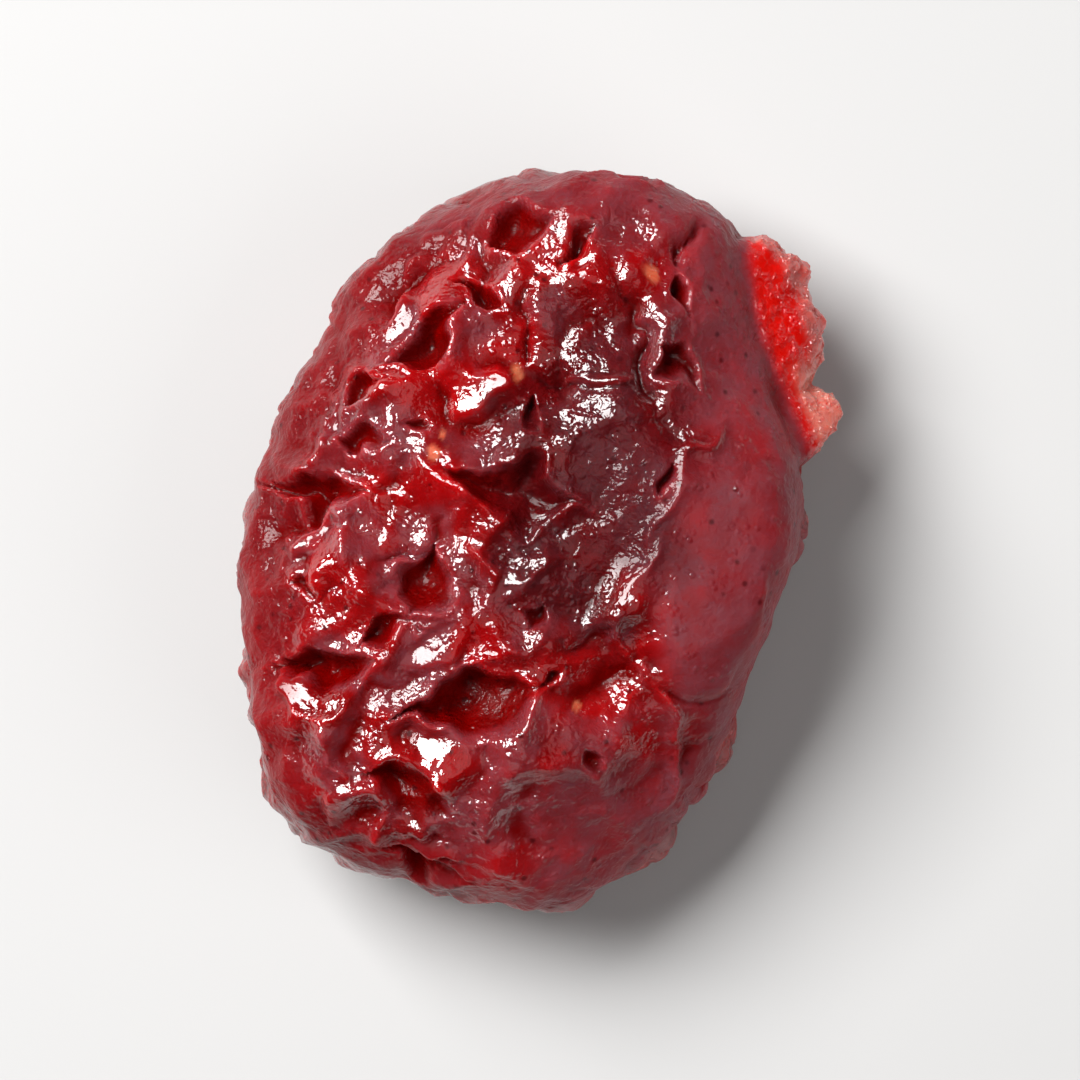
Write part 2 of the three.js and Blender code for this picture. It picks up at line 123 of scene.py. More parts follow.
# Folds of the top that stand up between the hollows: place, turn, half length, half width, height.
MOUNDS = [
    (-4.5, 1.9, 30, 0.6, 0.35, 0.16),
    (-4.3, -0.3, 60, 0.8, 0.55, 0.2),
    (-2.2, 6.2, 40, 1.0, 0.3, 0.14),
    (-4.0, -5.5, 60, 0.8, 0.4, 0.16),
]

# Flat facets of the top: place, turn, half length, half width, and how far the middle stands
# above the plain berry. All but the large one on the right face the upper left.
RIGHT_FACET = (3.7, -0.9, 80, 2.3, 1.15, 0.05)
RIGHT_FACET_RISE = (-0.26, 0.02)  # how much it rises for each millimetre along X and along Y
FACET_RISE = (0.28, -0.22)
FACETS = [
    (-2.1, -2.25, 38, 0.75, 0.34, 0.12),
    (-2.0, -4.45, -18, 0.85, 0.38, 0.12),
    (-1.2, 3.15, 20, 0.6, 0.42, 0.08),
    (-4.85, 0.1, 30, 0.42, 0.3, 0.1),
    (-4.35, 2.45, 80, 0.42, 0.16, 0.08),
    (-2.15, -6.45, -10, 0.5, 0.2, 0.0),
    (1.0, 6.0, 50, 0.55, 0.17, 0.1),
    (-0.5, -0.9, 45, 0.42, 0.24, 0.12),
    (-5.0, -3.2, 0, 0.5, 0.2, 0.0),
    (-3.0, 4.8, 60, 0.6, 0.22, 0.08),
    (1.4, 3.45, 5, 0.55, 0.12, 0.08),
    (2.0, -0.9, 75, 0.5, 0.14, 0.08),
]
FACET_LIMIT = 0.4  # the most that a facet rises above or sinks below the plain berry
FLATNESS = 0.75  # how much of the other relief a facet takes away

# Narrow creases of the top: path, depth and width.
CREASES = [
    ([(-0.3, 3.3), (0.7, 3.3), (1.7, 3.3)], 0.26, 0.12),
    ([(1.5, 6.2), (2.0, 5.2), (2.3, 4.4), (2.2, 3.7), (2.7, 2.4)], 0.34, 0.13),
    ([(3.7, 6.9), (3.2, 6.4), (2.7, 5.7)], 0.4, 0.13),
    ([(-0.3, 3.6), (-0.1, 4.6), (-0.2, 5.7)], 0.3, 0.13),
    ([(2.0, -2.4), (2.4, -3.1), (3.3, -3.3), (4.2, -2.7)], 0.2, 0.12),
    ([(-3.7, -0.7), (-2.3, -0.1), (-1.7, 0.7)], 0.25, 0.12),
    ([(0.3, -2.0), (0.9, -2.4), (1.7, -1.9)], 0.18, 0.1),
]

# Sharp crests of the top: path, height, width and how much lower the ground is on the right.
RIDGES = [
    (
        [
            (3.0, 0.6), (2.2, -0.4), (1.9, -1.3), (1.7, -1.9),
            (2.0, -2.6), (2.5, -3.3), (3.0, -4.4), (2.3, -6.2),
        ],
        0.24, 0.16, 0.1,
    ),
    ([(4.3, 2.6), (3.2, 1.8), (3.0, 1.0), (2.4, 0.2), (2.1, -0.3)], 0.18, 0.12, 0),
    ([(-3.8, -5.0), (-3.4, -5.7), (-3.3, -6.8)], 0.26, 0.14, 0.12),
    ([(-1.7, 6.1), (-0.7, 7.0), (0.3, 7.3), (1.3, 7.4), (3.0, 7.8)], 0.2, 0.16, -0.12),
    ([(-1.4, 0.0), (-1.0, -0.7), (-0.4, -0.9), (0.1, -0.7), (0.3, 0.0)], 0.22, 0.12, 0),
    ([(-2.3, -2.9), (-1.5, -2.5), (-0.4, -2.3), (0.3, -1.7)], 0.2, 0.12, 0),
    ([(-5.5, -3.0), (-4.6, -3.8), (-3.8, -3.1)], 0.24, 0.12, 0),
    ([(-4.6, -3.8), (-4.3, -4.8), (-3.8, -5.0)], 0.22, 0.12, 0),
    ([(0.3, 6.1), (0.9, 5.9), (1.4, 6.3)], 0.2, 0.1, 0),
]

# Relief all round.
SWELL = (0.13, 4.5)  # height and wavelength
CREST_PLATES = (240, 0.17, 0.31)  # count, how dished they are, and slope
CREASE_PLATES = (260, 0.17, 0.26)
SIDE_FOLDS = (0.36, 3.4)  # depth and spacing

# Detail that only this skin is fine enough for.
SMALL_PLATES = (1100, 0.33, 0.22)
SMALL_SHARE = 0.2  # how much of the small plates the taut skin keeps
SIDE_CREASES = (0.14, 1.1)  # depth and spacing
SOFTENING = 0.25  # how far each point is drawn to its neighbours' mean
QUADS_PER_EDGE = 128
TOP_SHARE = 0.25  # how strongly the mesh crowds towards the top
MESH_RADIUS = 6.9  # this and the next are the half sizes of the oval that the mesh starts from
MESH_HEIGHT = 3.6
SMOOTHINGS = 60  # rounds of smoothing that give the surface around a point
CRUMB = 0.04  # height of the crumbs on the torn flesh
SCAR_DEPTH = 0.06
SCAR = (-0.43, 3.48, 0.16)  # place and radius of the small scar
FLECKS = [(2.4, 5.6, 0.16), (-2.15, 1.8, 0.17), (0.8, -3.5, 0.11), (-2.0, 2.2, 0.1)]


# Numbers and curves


def smooth(start, end, value):
    t = np.clip((value - start) / (end - start), 0, 1)
    return t * t * (3 - 2 * t)


def catmull_rom(a, b, c, d, t):
    square, cube = 2 * a - 5 * b + 4 * c - d, 3 * b - a - 3 * c + d
    return 0.5 * (2 * b + (c - a) * t + square * t**2 + cube * t**3)


def seeded(seed):
    """A small generator of numbers from 0 to 1, the same one as the part's."""
    state = seed
    while True:
        state = (state + 0x6D2B79F5) & 0xFFFFFFFF
        t = ((state ^ (state >> 15)) * (state | 1)) & 0xFFFFFFFF
        t ^= (t + ((t ^ (t >> 7)) * (t | 61))) & 0xFFFFFFFF
        yield ((t ^ (t >> 14)) & 0xFFFFFFFF) / 4294967296


def noise(p, wavelength, seed, count=10, kinked=False):
    """Noise, about -1 to 1, from plane waves in random directions: smooth ones, or zigzags."""
    draw = seeded(seed)
    total = np.zeros(len(p))
    for _ in range(count):
        z = 2 * next(draw) - 1
        turn = 2 * np.pi * next(draw)
        flat = np.sqrt(1 - z * z)
        k = 2 * np.pi / (wavelength * (0.7 + 0.8 * next(draw)))
        phase = 2 * np.pi * next(draw)
        wave = np.sin(k * (p @ np.array([flat * np.cos(turn), flat * np.sin(turn), z])) + phase)
        total += np.arcsin(wave) * 2 / np.pi if kinked else wave
    return 0.7 * np.sqrt(2 / count) * total


def wander(p, reach, wavelength, seed):
    """The points, each moved aside a little in a way that changes slowly from place to place."""
    return p + reach * np.stack([noise(p, wavelength, seed + i) for i in range(3)], axis=1)


def on_curve(path, xy):
    """How far each place is from a curve, how far along it lies, and whether it is to the left."""
    points = np.array(path, float)
    ends = np.concatenate([[2 * points[0] - points[1]], points, [2 * points[-1] - points[-2]]])
    steps = np.arange(CURVE_STEPS) / CURVE_STEPS
    fine = [catmull_rom(*ends[i : i + 4], t) for i in range(len(points) - 1) for t in steps]
    fine = np.array(fine + [points[-1]])
    lengths = np.linalg.norm(np.diff(fine, axis=0), axis=1)
    passed = np.concatenate([[0], np.cumsum(lengths)])
    distance = np.full(len(xy), np.inf)
    place = np.zeros(len(xy))
    left = np.zeros(len(xy), bool)
    for i, length in enumerate(lengths):
        along = (fine[i + 1] - fine[i]) / length
        away = xy - fine[i]
        t = np.clip(away @ along, 0, length)
        off = np.linalg.norm(away - t[:, None] * along, axis=1)
        nearer = off < distance
        distance = np.where(nearer, off, distance)
        place = np.where(nearer, (passed[i] + t) / passed[-1], place)
        left = np.where(nearer, along[0] * away[:, 1] - along[1] * away[:, 0] > 0, left)
    return distance, place, left


# The berry's form


def cube_sphere(n):
    """Unit directions on a cube that is blown up to a sphere, and the quads between them."""
    a, b = np.meshgrid(np.arange(n + 1), np.arange(n + 1), indexing="ij")
    corner = (np.arange(n)[:, None] * (n + 1) + np.arange(n)).ravel()
    quad = np.stack([corner, corner + n + 1, corner + n + 2, corner + 1], axis=1)
    grids = []
    quads = []
    for axis in range(3):
        for side in (0, n):
            grid = np.zeros(((n + 1) ** 2, 3), int)
            grid[:, axis] = side
            grid[:, (axis + 1) % 3] = a.ravel()
            grid[:, (axis + 2) % 3] = b.ravel()
            quads.append((quad if side else quad[:, ::-1]) + len(grids) * (n + 1) ** 2)
            grids.append(grid)
    grids = np.concatenate(grids)
    key = (grids[:, 0] * (n + 1) + grids[:, 1]) * (n + 1) + grids[:, 2]
    _, first, shared = np.unique(key, return_index=True, return_inverse=True)
    spread = np.tan((2 * grids[first] / n - 1) * np.pi / 4)
    return spread / np.linalg.norm(spread, axis=1, keepdims=True), shared[np.concatenate(quads)]


def crowd_to_top(directions):
    """Turns the directions towards the top, where most of the relief is."""
    polar = np.arccos(np.clip(directions[:, 2], -1, 1))
    turned = polar - TOP_SHARE * np.sin(polar)
    around = np.arctan2(directions[:, 1], directions[:, 0])
    flat = np.sin(turned)
    return np.stack([flat * np.cos(around), flat * np.sin(around), np.cos(turned)], axis=1)


def rim_wave(angle, outward):
    """How far the berry is raised at a direction and a share of the rim's radius."""
    return RIM_WAVE * smooth(0.3, 1, outward) * (np.sin(2 * angle + 0.6) + 0.57 * np.sin(3 * angle + 2))


def rim_radius(angle):
    radii = np.array(RIM_RADII)
    place = (angle / (2 * np.pi) * len(radii)) % len(radii)
    first = np.floor(place).astype(int)
    near = [radii[(first + step) % len(radii)] for step in (-1, 0, 1, 2)]
    return catmull_rom(*near, place - first)


def plain_berry(directions):
    """The berry without its relief. The rim lies about at height 0."""
    p = directions * np.array([MESH_RADIUS, MESH_RADIUS, MESH_HEIGHT])
    angle = np.arctan2(p[:, 1], p[:, 0])
    radius = rim_radius(angle)
    height = np.where(p[:, 2] > 0, TOP_RISE, BELLY_FALL)
    size = (np.hypot(p[:, 0], p[:, 1]) / radius) ** FULLNESS + (np.abs(p[:, 2]) / height) ** FULLNESS
    p = p * (size ** (-1 / FULLNESS))[:, None]
    p[:, 2] += rim_wave(angle, np.hypot(p[:, 0], p[:, 1]) / radius)
    return p


def along_across(x, y, at_x, at_y, turn, half_length, half_width):
    """Where each place lies in a turned oval, as shares of its half length and half width."""
    angle = np.radians(turn)
    along = ((x - at_x) * np.cos(angle) + (y - at_y) * np.sin(angle)) / half_length
    across = ((y - at_y) * np.cos(angle) - (x - at_x) * np.sin(angle)) / half_width
    return along, across


def hollow_height(x, y, at_x, at_y, turn, half_length, half_width, depth):
    """A dish, steepest at its upper left. Outside it the ground rises a little towards the rim."""
    s, t = along_across(x, y, at_x, at_y, turn, half_length, half_width)
    lens = np.maximum(1 - np.minimum(np.abs(s), 1) ** HOLLOW_ENDS, 0.16)
    outward = np.abs(s) ** HOLLOW_CORNERS + np.abs(t / lens) ** HOLLOW_CORNERS
    outward = outward ** (1 / HOLLOW_CORNERS) / 1.25
    upper_left = np.clip((y - at_y - x + at_x) / (1.4 * half_width), -1, 1)
    dish = np.maximum(1 - outward**HOLLOW_WALL, 0) * (1 + HOLLOW_LEAN * upper_left)
    fade = np.exp(-np.maximum(outward - 1, 0) / 0.6 - 2.5 * np.maximum(np.hypot(s, t) - 1, 0))
    return depth * (HOLLOW_BRIM * fade - 1.5 * dish)


def crease_height(xy, path, depth, width):
    distance, place, _ = on_curve(path, xy)
    taper = smooth(0, 0.25, place) * smooth(0, 0.25, 1 - place)
    return taper * depth * (0.2 * np.exp(-distance / (4 * width)) - np.exp(-distance / width))


def ridge_height(xy, path, height, width, drop):
    distance, place, left = on_curve(path, xy)
    taper = smooth(0, 0.2, place) * smooth(0, 0.2, 1 - place)
    crest = np.exp(-distance / width)
    step = np.where(left, 0, drop * (1 - crest) * np.exp(-((distance / (6 * width)) ** 2)))
    return taper * (height * crest - step)


def plates(p, count, dish, slope, seed):
    """Dished, tilted facets that meet in sharp crests: the lowest of many shallow bowls."""
    draw = seeded(seed)
    i = np.arange(count)
    z = 1 - (2 * i + 1) / count
    flat = np.sqrt(1 - z * z)
    turn = i * np.pi * (3 - np.sqrt(5))
    random = np.array([next(draw) for _ in range(6 * count)]).reshape(-1, 6) - 0.5
    directions = np.stack([flat * np.cos(turn), flat * np.sin(turn), z], axis=1)
    directions += 2.2 / np.sqrt(count) * random[:, :3]
    sites = plain_berry(directions / np.linalg.norm(directions, axis=1, keepdims=True))
    slopes = 2 * slope * random[:, 3:] - 2 * dish * sites
    heights = -(sites * slopes).sum(axis=1) - dish * (sites**2).sum(axis=1)
    lowest = [(q @ slopes.T + heights).min(axis=1) for q in np.array_split(p, 20)]
    return dish * (p**2).sum(axis=1) + np.concatenate(lowest)


def crumple(p):
    """1 where the skin is crumpled, little where it is taut."""
    x, y, z = p.T
    outward = np.hypot(x, y) / rim_radius(np.arctan2(y, x))
    right_plate = smooth(1.4, 2.8, x + 0.25 * y) * smooth(3.4, 2, np.abs(y + 1.2))
    upper_right = smooth(2, 3.5, x) * smooth(1, 3, y)
    upper_end = smooth(6, 7.2, y)
    lower_right = smooth(-3.8, -5.2, y) * smooth(-1, 0.8, x)
    middle = smooth(1.3, 0.7, np.hypot((x - 1.6) / 1.1, (y - 1) / 1.9))
    turned_down = smooth(0.85, 1.0, outward) * smooth(0, 1.2, z)
    taut = 0.9 * right_plate + 0.7 * upper_right + 0.6 * upper_end + 0.65 * lower_right + 0.5 * middle
    return np.maximum(1 - taut * smooth(-1.5, 0.5, z) - 0.4 * turned_down, 0.15)


def plain_top(x, y):
    """Height of the plain berry's top."""
    angle = np.arctan2(y, x)
    outward = np.minimum(np.hypot(x, y) / rim_radius(angle), 1)
    return TOP_RISE * (1 - outward**FULLNESS) ** (1 / FULLNESS) + rim_wave(angle, outward)


def drawn_place(p):
    """Where on the top a point is, wandering a little so that nothing drawn there is too regular."""
    x = p[:, 0] + 0.17 * noise(p, 1.7, 11, 4, True) + 0.09 * noise(p, 0.8, 13, 4, True)
    y = p[:, 1] + 0.17 * noise(p, 1.7, 12, 4, True) + 0.09 * noise(p, 0.8, 14, 4, True)
    return x, y


def hollow_depth(p):
    """How deep the hollows of the top are, and 0 outside them."""
    height = np.min([hollow_height(*drawn_place(p), *hollow) for hollow in HOLLOWS], axis=0)
    return np.maximum(-height, 0) * smooth(-0.2, 1.4, p[:, 2])


def top_relief(p):
    """The hollows, folds, creases and crests of the top, all at once."""
    x, y = drawn_place(p)
    xy = np.stack([x, y], axis=1)
    height = sum(hollow_height(x, y, *hollow) for hollow in HOLLOWS)
    height -= sum(hollow_height(x, y, *mound) for mound in MOUNDS)
    height += sum(crease_height(xy, *crease) for crease in CREASES)
    height += sum(ridge_height(xy, *ridge) for ridge in RIDGES)
    return height * smooth(-0.2, 1.4, p[:, 2])


def facets(p):
    """How much of each point belongs to a facet, and the relief that makes the facet flat."""
    x, y = drawn_place(p)
    share = np.zeros(len(p))
    relief = np.zeros(len(p))
    rises = [RIGHT_FACET_RISE] + [FACET_RISE] * len(FACETS)
    for (at_x, at_y, *oval, level), rise in zip([RIGHT_FACET] + FACETS, rises):
        outward = np.hypot(*along_across(x, y, at_x, at_y, *oval))
        inside = smooth(1.45, 0.75, outward) * smooth(0.2, 1.4, p[:, 2])
        plane = plain_top(at_x, at_y) + level - plain_top(p[:, 0], p[:, 1])
        plane += rise[0] * (p[:, 0] - at_x) + rise[1] * (p[:, 1] - at_y)
        plane = np.clip(plane, -FACET_LIMIT, FACET_LIMIT)
        relief += inside * (plane - relief)
        share = np.maximum(share, inside)
    return share, relief


def side_folds(p):
    """Long furrows that run down the sides and under the berry, with short creases between them."""
    depth, spacing = SIDE_FOLDS
    across = np.abs(noise(wander(p, 0.7, 3.6, 65) * [1, 1, 0.8], spacing, 61))
    folds = depth * (0.4 - np.exp(-across / 0.35))
    depth, spacing = SIDE_CREASES
    across = np.abs(noise(wander(p, 0.25, 1.5, 63) * [1, 1, 0.45], spacing, 62, 5, True))
    creases = depth * (0.3 - np.exp(-across / 0.22))
    return folds * smooth(0.8, -0.6, p[:, 2]) + creases * smooth(1.2, 0.2, p[:, 2])


def skin_relief(p, share, flat):
    """The relief all over. share and flat are how much belongs to facets, and their relief."""
    bent = wander(p, 0.3, 2.2, 21)
    large = plates(bent, *CREST_PLATES, 5) - plates(bent, *CREASE_PLATES, 7)
    small = plates(wander(p, 0.12, 0.9, 31), *SMALL_PLATES, 6)
    crumpled = crumple(p)
    relief = SWELL[0] * noise(p, SWELL[1], 51) + top_relief(p) + crumpled * large + side_folds(p)
    small *= (SMALL_SHARE + (1 - SMALL_SHARE) * crumpled) * (1 - 0.5 * share)
    return relief + FLATNESS * share * (flat - relief) + small


def lip_reach(p):
    """How far the torn flesh stands out beyond the skin at its edge."""
    angle = np.degrees(np.arctan2(p[:, 1], p[:, 0]))
    off = [np.abs((angle - at) / spread) for at, spread, _ in LIP_LOBES]
    lobes = [lobe[2] * np.clip(1 - o**2.5, 0, 1) for o, lobe in zip(off, LIP_LOBES)]
    return np.max(lobes, axis=0)


def torn_lip(p, reach):
    """How far the torn flesh stands out at each height, less the groove above it."""
    edge = np.exp(-(np.abs((p[:, 2] - LIP_HEIGHT) / LIP_THICKNESS) ** 2.2))
    groove = np.exp(-(((p[:, 2] - GROOVE_HEIGHT) / GROOVE_THICKNESS) ** 2))
    ragged = 1 + LIP_RAGGED * noise(p, 0.8, 71)
    return reach * edge * ragged - GROOVE_DEPTH * np.minimum(reach, 1) * groove


# The skin


def scatter(corners, vectors, count):
    return np.stack([np.bincount(corners, vectors[:, k], count) for k in range(3)], axis=1)


def normals_of(p, quads):
    a, b, c, d = (p[quads[:, i]] for i in range(4))
    face = np.cross(c - a, d - b)
    total = sum(scatter(quads[:, i], face, len(p)) for i in range(4))
    return total / np.linalg.norm(total, axis=1, keepdims=True)


def sides_of(quads):
    """The quads' sides, each once."""
    sides = np.stack([quads, np.roll(quads, -1, axis=1)], axis=2).reshape(-1, 2)
    return np.unique(np.sort(sides, axis=1), axis=0)


def neighbour_mean(p, sides):
    first, second = sides.T
    total = scatter(first, p[second], len(p)) + scatter(second, p[first], len(p))
    return total / np.bincount(sides.ravel(), minlength=len(p))[:, None]


def press_flat(p):
    """Presses the middle of the underside flat, and draws a wrinkle down at each toe."""
    outward = np.hypot(p[:, 0], p[:, 1] / REST_STRETCH) / REST_RADIUS
    toe = np.min([np.hypot(p[:, 0] - x, p[:, 1] - y) for x, y in TOES], axis=0) / TOE_RADIUS
    pulled = p[:, 2] - 0.5 * smooth(1.6, 1, outward) - 0.7 * np.exp(-(toe**2))
    p[:, 2] = np.where(p[:, 2] < 0, np.maximum(pulled, -REST_DEPTH), p[:, 2])
    return p


def depth_below(p, normals, sides):
    """How far each point lies below the surface around it."""
    around = p
    for _ in range(SMOOTHINGS):
        around = neighbour_mean(around, sides)
    return ((around - p) * normals).sum(axis=1)


def spots(p, places):
    """1 in the middle of each of the small round places of the top, 0 outside them."""
    spot = np.zeros(len(p))
    ragged = 1 + 0.35 * noise(p, 0.3, 91)
    for x, y, radius in places:
        distance = np.hypot(p[:, 0] - x, p[:, 1] - y)
        spot = np.maximum(spot, smooth(1.15, 0.6, distance / (radius * ragged)) * (p[:, 2] > 0))
    return spot


def berry_skin():
    """The berry's points in mm, its quads, and a value at each point for each mask."""
    directions, quads = cube_sphere(QUADS_PER_EDGE)
    plain = plain_berry(crowd_to_top(directions))
    plain_normals = normals_of(plain, quads)
    share, flat = facets(plain)
    outward = plain * np.array([1, 1, 0])
    outward /= np.maximum(np.linalg.norm(outward, axis=1, keepdims=True), 1e-9)
    reach = lip_reach(plain)
    lip = torn_lip(plain, reach)
    relief = skin_relief(plain, share, flat)
    skin = plain + plain_normals * relief[:, None] + outward * lip[:, None]

    sides = sides_of(quads)
    skin = (1 - SOFTENING) * skin + SOFTENING * neighbour_mean(skin, sides)
    torn = smooth(0.15, 0.45, lip)
    edge = torn * smooth(0.74, 0.96, lip / np.maximum(reach, 0.5))
    normals = normals_of(skin, quads)
    crumbs = np.maximum(noise(skin, 0.3, 81), -0.2) + 0.6 * noise(skin, 0.16, 82)
    skin = skin + normals * (CRUMB * torn * (0.35 + 0.65 * edge) * crumbs)[:, None]
    skin = skin - normals * (SCAR_DEPTH * spots(skin, [SCAR]))[:, None]
    skin = press_flat(skin)

    sunk = depth_below(skin, normals_of(skin, quads), sides)
    upward = plain_normals[:, 2]
    turned = smooth(0.97, 0.7, upward)
    masks = {
        "valley": smooth(0.01, 0.12, sunk),
        "hollow": smooth(0, 0.22, hollow_depth(plain)) * (1 - share),
        "facet": share,
        "shoulder": turned * smooth(-0.1, 0.3, upward),
        # where the painted shade of the left rim lies
        "left_rim_shade": turned * smooth(1, -3, plain[:, 0] - 0.3 * plain[:, 1]),
        "below": smooth(0.3, -0.1, upward),
        "crumpled": crumple(plain),
        "torn": torn,
        "torn_edge": edge,
        "knob": torn * smooth(0.4, 0.7, lip) * smooth(3.6, 3.0, plain[:, 1]),
        "dark": dark_middle(skin),
        "scar": spots(skin, [SCAR] + FLECKS),
    }
    return skin, quads, masks


def dark_middle(p):
    """The brown, hazy area round and below the scar."""
    x, y, z = p.T
    distance = np.hypot((x - 0.9 - 0.12 * (y - 1)) / 2.3, (y - 1.6) / 4.2)
    return smooth(1.25, 0.55, distance + 0.12 * noise(p, 2.0, 95)) * smooth(0, 2, z)


# Mesh and materials

# Colours of the skin, the torn flesh and the floor.
SKIN = (0.31, 0.0015, 0.0025, 1)
DEEP_SKIN = (0.18, 0.001, 0.0015, 1)
# Mauve on the plates and shoulders: partly the skin's waxy bloom, partly painted sheen standing in for
# an overhead light's haze mirrored by the skin.
BLOOM_AND_SHEEN = (0.20, 0.037, 0.049, 1)
# Painted shade: the rim on the left is darkened because the key light falls on it too strongly.
LEFT_RIM_SHADE = (0.13, 0.003, 0.004, 1)
# Painted shade: a darker red in the valleys of the skin, where shade falls.
VALLEY_SHADE_RED = (0.16, 0.0, 0.0, 1)
# Painted shade: a darker red in the hollows of the top.
HOLLOW_SHADE_RED = (0.14, 0.0, 0.0, 1)
DARK_MIDDLE = (0.04, 0.002, 0.003, 1)
PORE = (0.045, 0.001, 0.002, 1)
FLESH = (0.55, 0.003, 0.001, 1)
FLESH_EDGE = (0.55, 0.10, 0.085, 1)
KNOB = (0.66, 0.16, 0.12, 1)
FLECK = (0.70, 0.17, 0.08, 1)
FLOOR = (0.52, 0.515, 0.51, 1)

# How far red, green and blue light spreads in the flesh, and what 1 stands for, in metres.
SPREAD = (1.0, 0.14, 0.12)
SPREAD_SCALE = 0.0010

# Relief too fine for the mesh: size and height, in metres. A negative height turns it inside out.
WRINKLES = (0.00045, -0.00005)
RIPPLES = (0.00022, 0.00005)
BEADS = (0.00016, 0.000028)
DROPS = (0.00026, 0.00015)


def mesh_object(name, points, quads, masks):
    mesh = bpy.data.meshes.new(name)
    mesh.from_pydata(points.tolist(), [], quads.tolist())
    mesh.polygons.foreach_set("use_smooth", np.ones(len(quads), bool))
    for mask, values in masks.items():
        attribute = mesh.attributes.new(mask, "FLOAT", "POINT")
        attribute.data.foreach_set("value", values.astype(np.float32))
    mesh.update()
    obj = bpy.data.objects.new(name, mesh)
    bpy.context.scene.collection.objects.link(obj)
    return obj


class Nodes:
    """Short calls for the nodes of one material."""

    def __init__(self, name):
        self.material = bpy.data.materials.new(name)
        self.material.use_nodes = True
        self.tree = self.material.node_tree
        self.shader = self.tree.nodes["Principled BSDF"]
        self.place = self.tree.nodes.new("ShaderNodeTexCoord").outputs["Object"]

    def fill(self, socket, value):
        if isinstance(value, bpy.types.NodeSocket):
            self.tree.links.new(value, socket)
        else:
            socket.default_value = value

    def mask(self, name):
        node = self.tree.nodes.new("ShaderNodeAttribute")
        node.attribute_name = name
        return node.outputs["Fac"]

    def math(self, operation, first, second=0.0):
        node = self.tree.nodes.new("ShaderNodeMath")
        node.operation = operation
        self.fill(node.inputs[0], first)
        self.fill(node.inputs[1], second)
        return node.outputs[0]

    def times(self, first, second):
        return self.math("MULTIPLY", first, second)

    def larger(self, first, second):
        return self.math("MAXIMUM", first, second)

    def mix(self, factor, first, second):
        node = self.tree.nodes.new("ShaderNodeMix")
        node.data_type = "RGBA"
        self.fill(node.inputs["Factor"], factor)
        self.fill(node.inputs["A"], first)
        self.fill(node.inputs["B"], second)
        return node.outputs["Result"]

    def ramp(self, value, start, end, low=0.0, high=1.0):
        node = self.tree.nodes.new("ShaderNodeMapRange")
        node.interpolation_type = "SMOOTHSTEP"
        self.fill(node.inputs["Value"], value)
        for name, number in zip(("From Min", "From Max", "To Min", "To Max"), (start, end, low, high)):
            node.inputs[name].default_value = number
        return node.outputs["Result"]

    def less(self, value, low):
        """1 where the value is 0, falling to low where it is 1."""
        return self.ramp(value, 0.0, 1.0, 1.0, low)

    def noise(self, size, detail=2.0, roughness=0.5, distortion=0.0):
        """Noise whose lumps are about that size, in metres."""
        node = self.tree.nodes.new("ShaderNodeTexNoise")
        self.fill(node.inputs["Vector"], self.place)
        node.inputs["Scale"].default_value = 1 / size
        node.inputs["Detail"].default_value = detail
        node.inputs["Roughness"].default_value = roughness
        node.inputs["Distortion"].default_value = distortion
        return node.outputs["Fac"]

    def cells(self, size):
        """Distance from the nearest of scattered points, as a share of size, their spacing."""
        node = self.tree.nodes.new("ShaderNodeTexVoronoi")
        self.fill(node.inputs["Vector"], self.place)
        node.inputs["Scale"].default_value = 1 / size
        return node.outputs["Distance"]

    def bump(self, height, distance, normal=None):
        """A normal bent by a height from 0 to 1, whose 1 stands that distance out, in metres."""
        node = self.tree.nodes.new("ShaderNodeBump")
        node.inputs["Distance"].default_value = distance
        self.fill(node.inputs["Height"], height)
        if normal:
            self.tree.links.new(normal, node.inputs["Normal"])
        return node.outputs["Normal"]


def skin_colour(n, mask):
    """Dark red and bare of bloom in the folds, which painted shade darkens, as it does the hollows and
    the left rim; a mauve bloom with painted sheen on the plates, and small dark pores.
    """
    patches = n.ramp(n.noise(0.0016, 3), 0.35, 0.65)
    skin = n.mix(patches, SKIN, DEEP_SKIN)
    grain = n.ramp(n.noise(0.0006, 3, 0.6), 0.3, 0.7, 0.45, 1.0)
    # Where the bloom and its painted sheen lie: the taut plates, and a little of the shoulder.
    taut = n.larger(n.ramp(mask["crumpled"], 0.9, 0.2), n.times(mask["shoulder"], 0.3))
    blotches = n.ramp(n.noise(0.0015, 3), 0.43, 0.56, 0.0, 0.75)
    blotches = n.times(blotches, n.less(mask["below"], 0.3))
    blotches = n.times(blotches, n.less(mask["shoulder"], 0.3))
    skin = n.mix(n.times(grain, n.larger(taut, blotches)), skin, BLOOM_AND_SHEEN)
    # Painted shade on the left rim.
    skin = n.mix(n.times(mask["left_rim_shade"], 0.6), skin, LEFT_RIM_SHADE)
    # Painted shade in the valleys.
    skin = n.mix(mask["valley"], skin, VALLEY_SHADE_RED)
    # Painted shade in the hollows.
    skin = n.mix(mask["hollow"], skin, HOLLOW_SHADE_RED)
    skin = n.mix(n.times(mask["dark"], 0.7), skin, DARK_MIDDLE)
    pores = n.ramp(n.cells(0.0004), 0.06, 0.24, 1.0, 0.0)
    pores = n.times(pores, n.ramp(n.noise(0.0009), 0.42, 0.55))
    return n.mix(n.times(pores, 0.75), skin, PORE)


def flesh_colour(n, mask):
    """Bright red torn flesh, paler along its edge and on the lower lobe."""
    return n.mix(mask["knob"], n.mix(mask["torn_edge"], FLESH, FLESH_EDGE), KNOB)


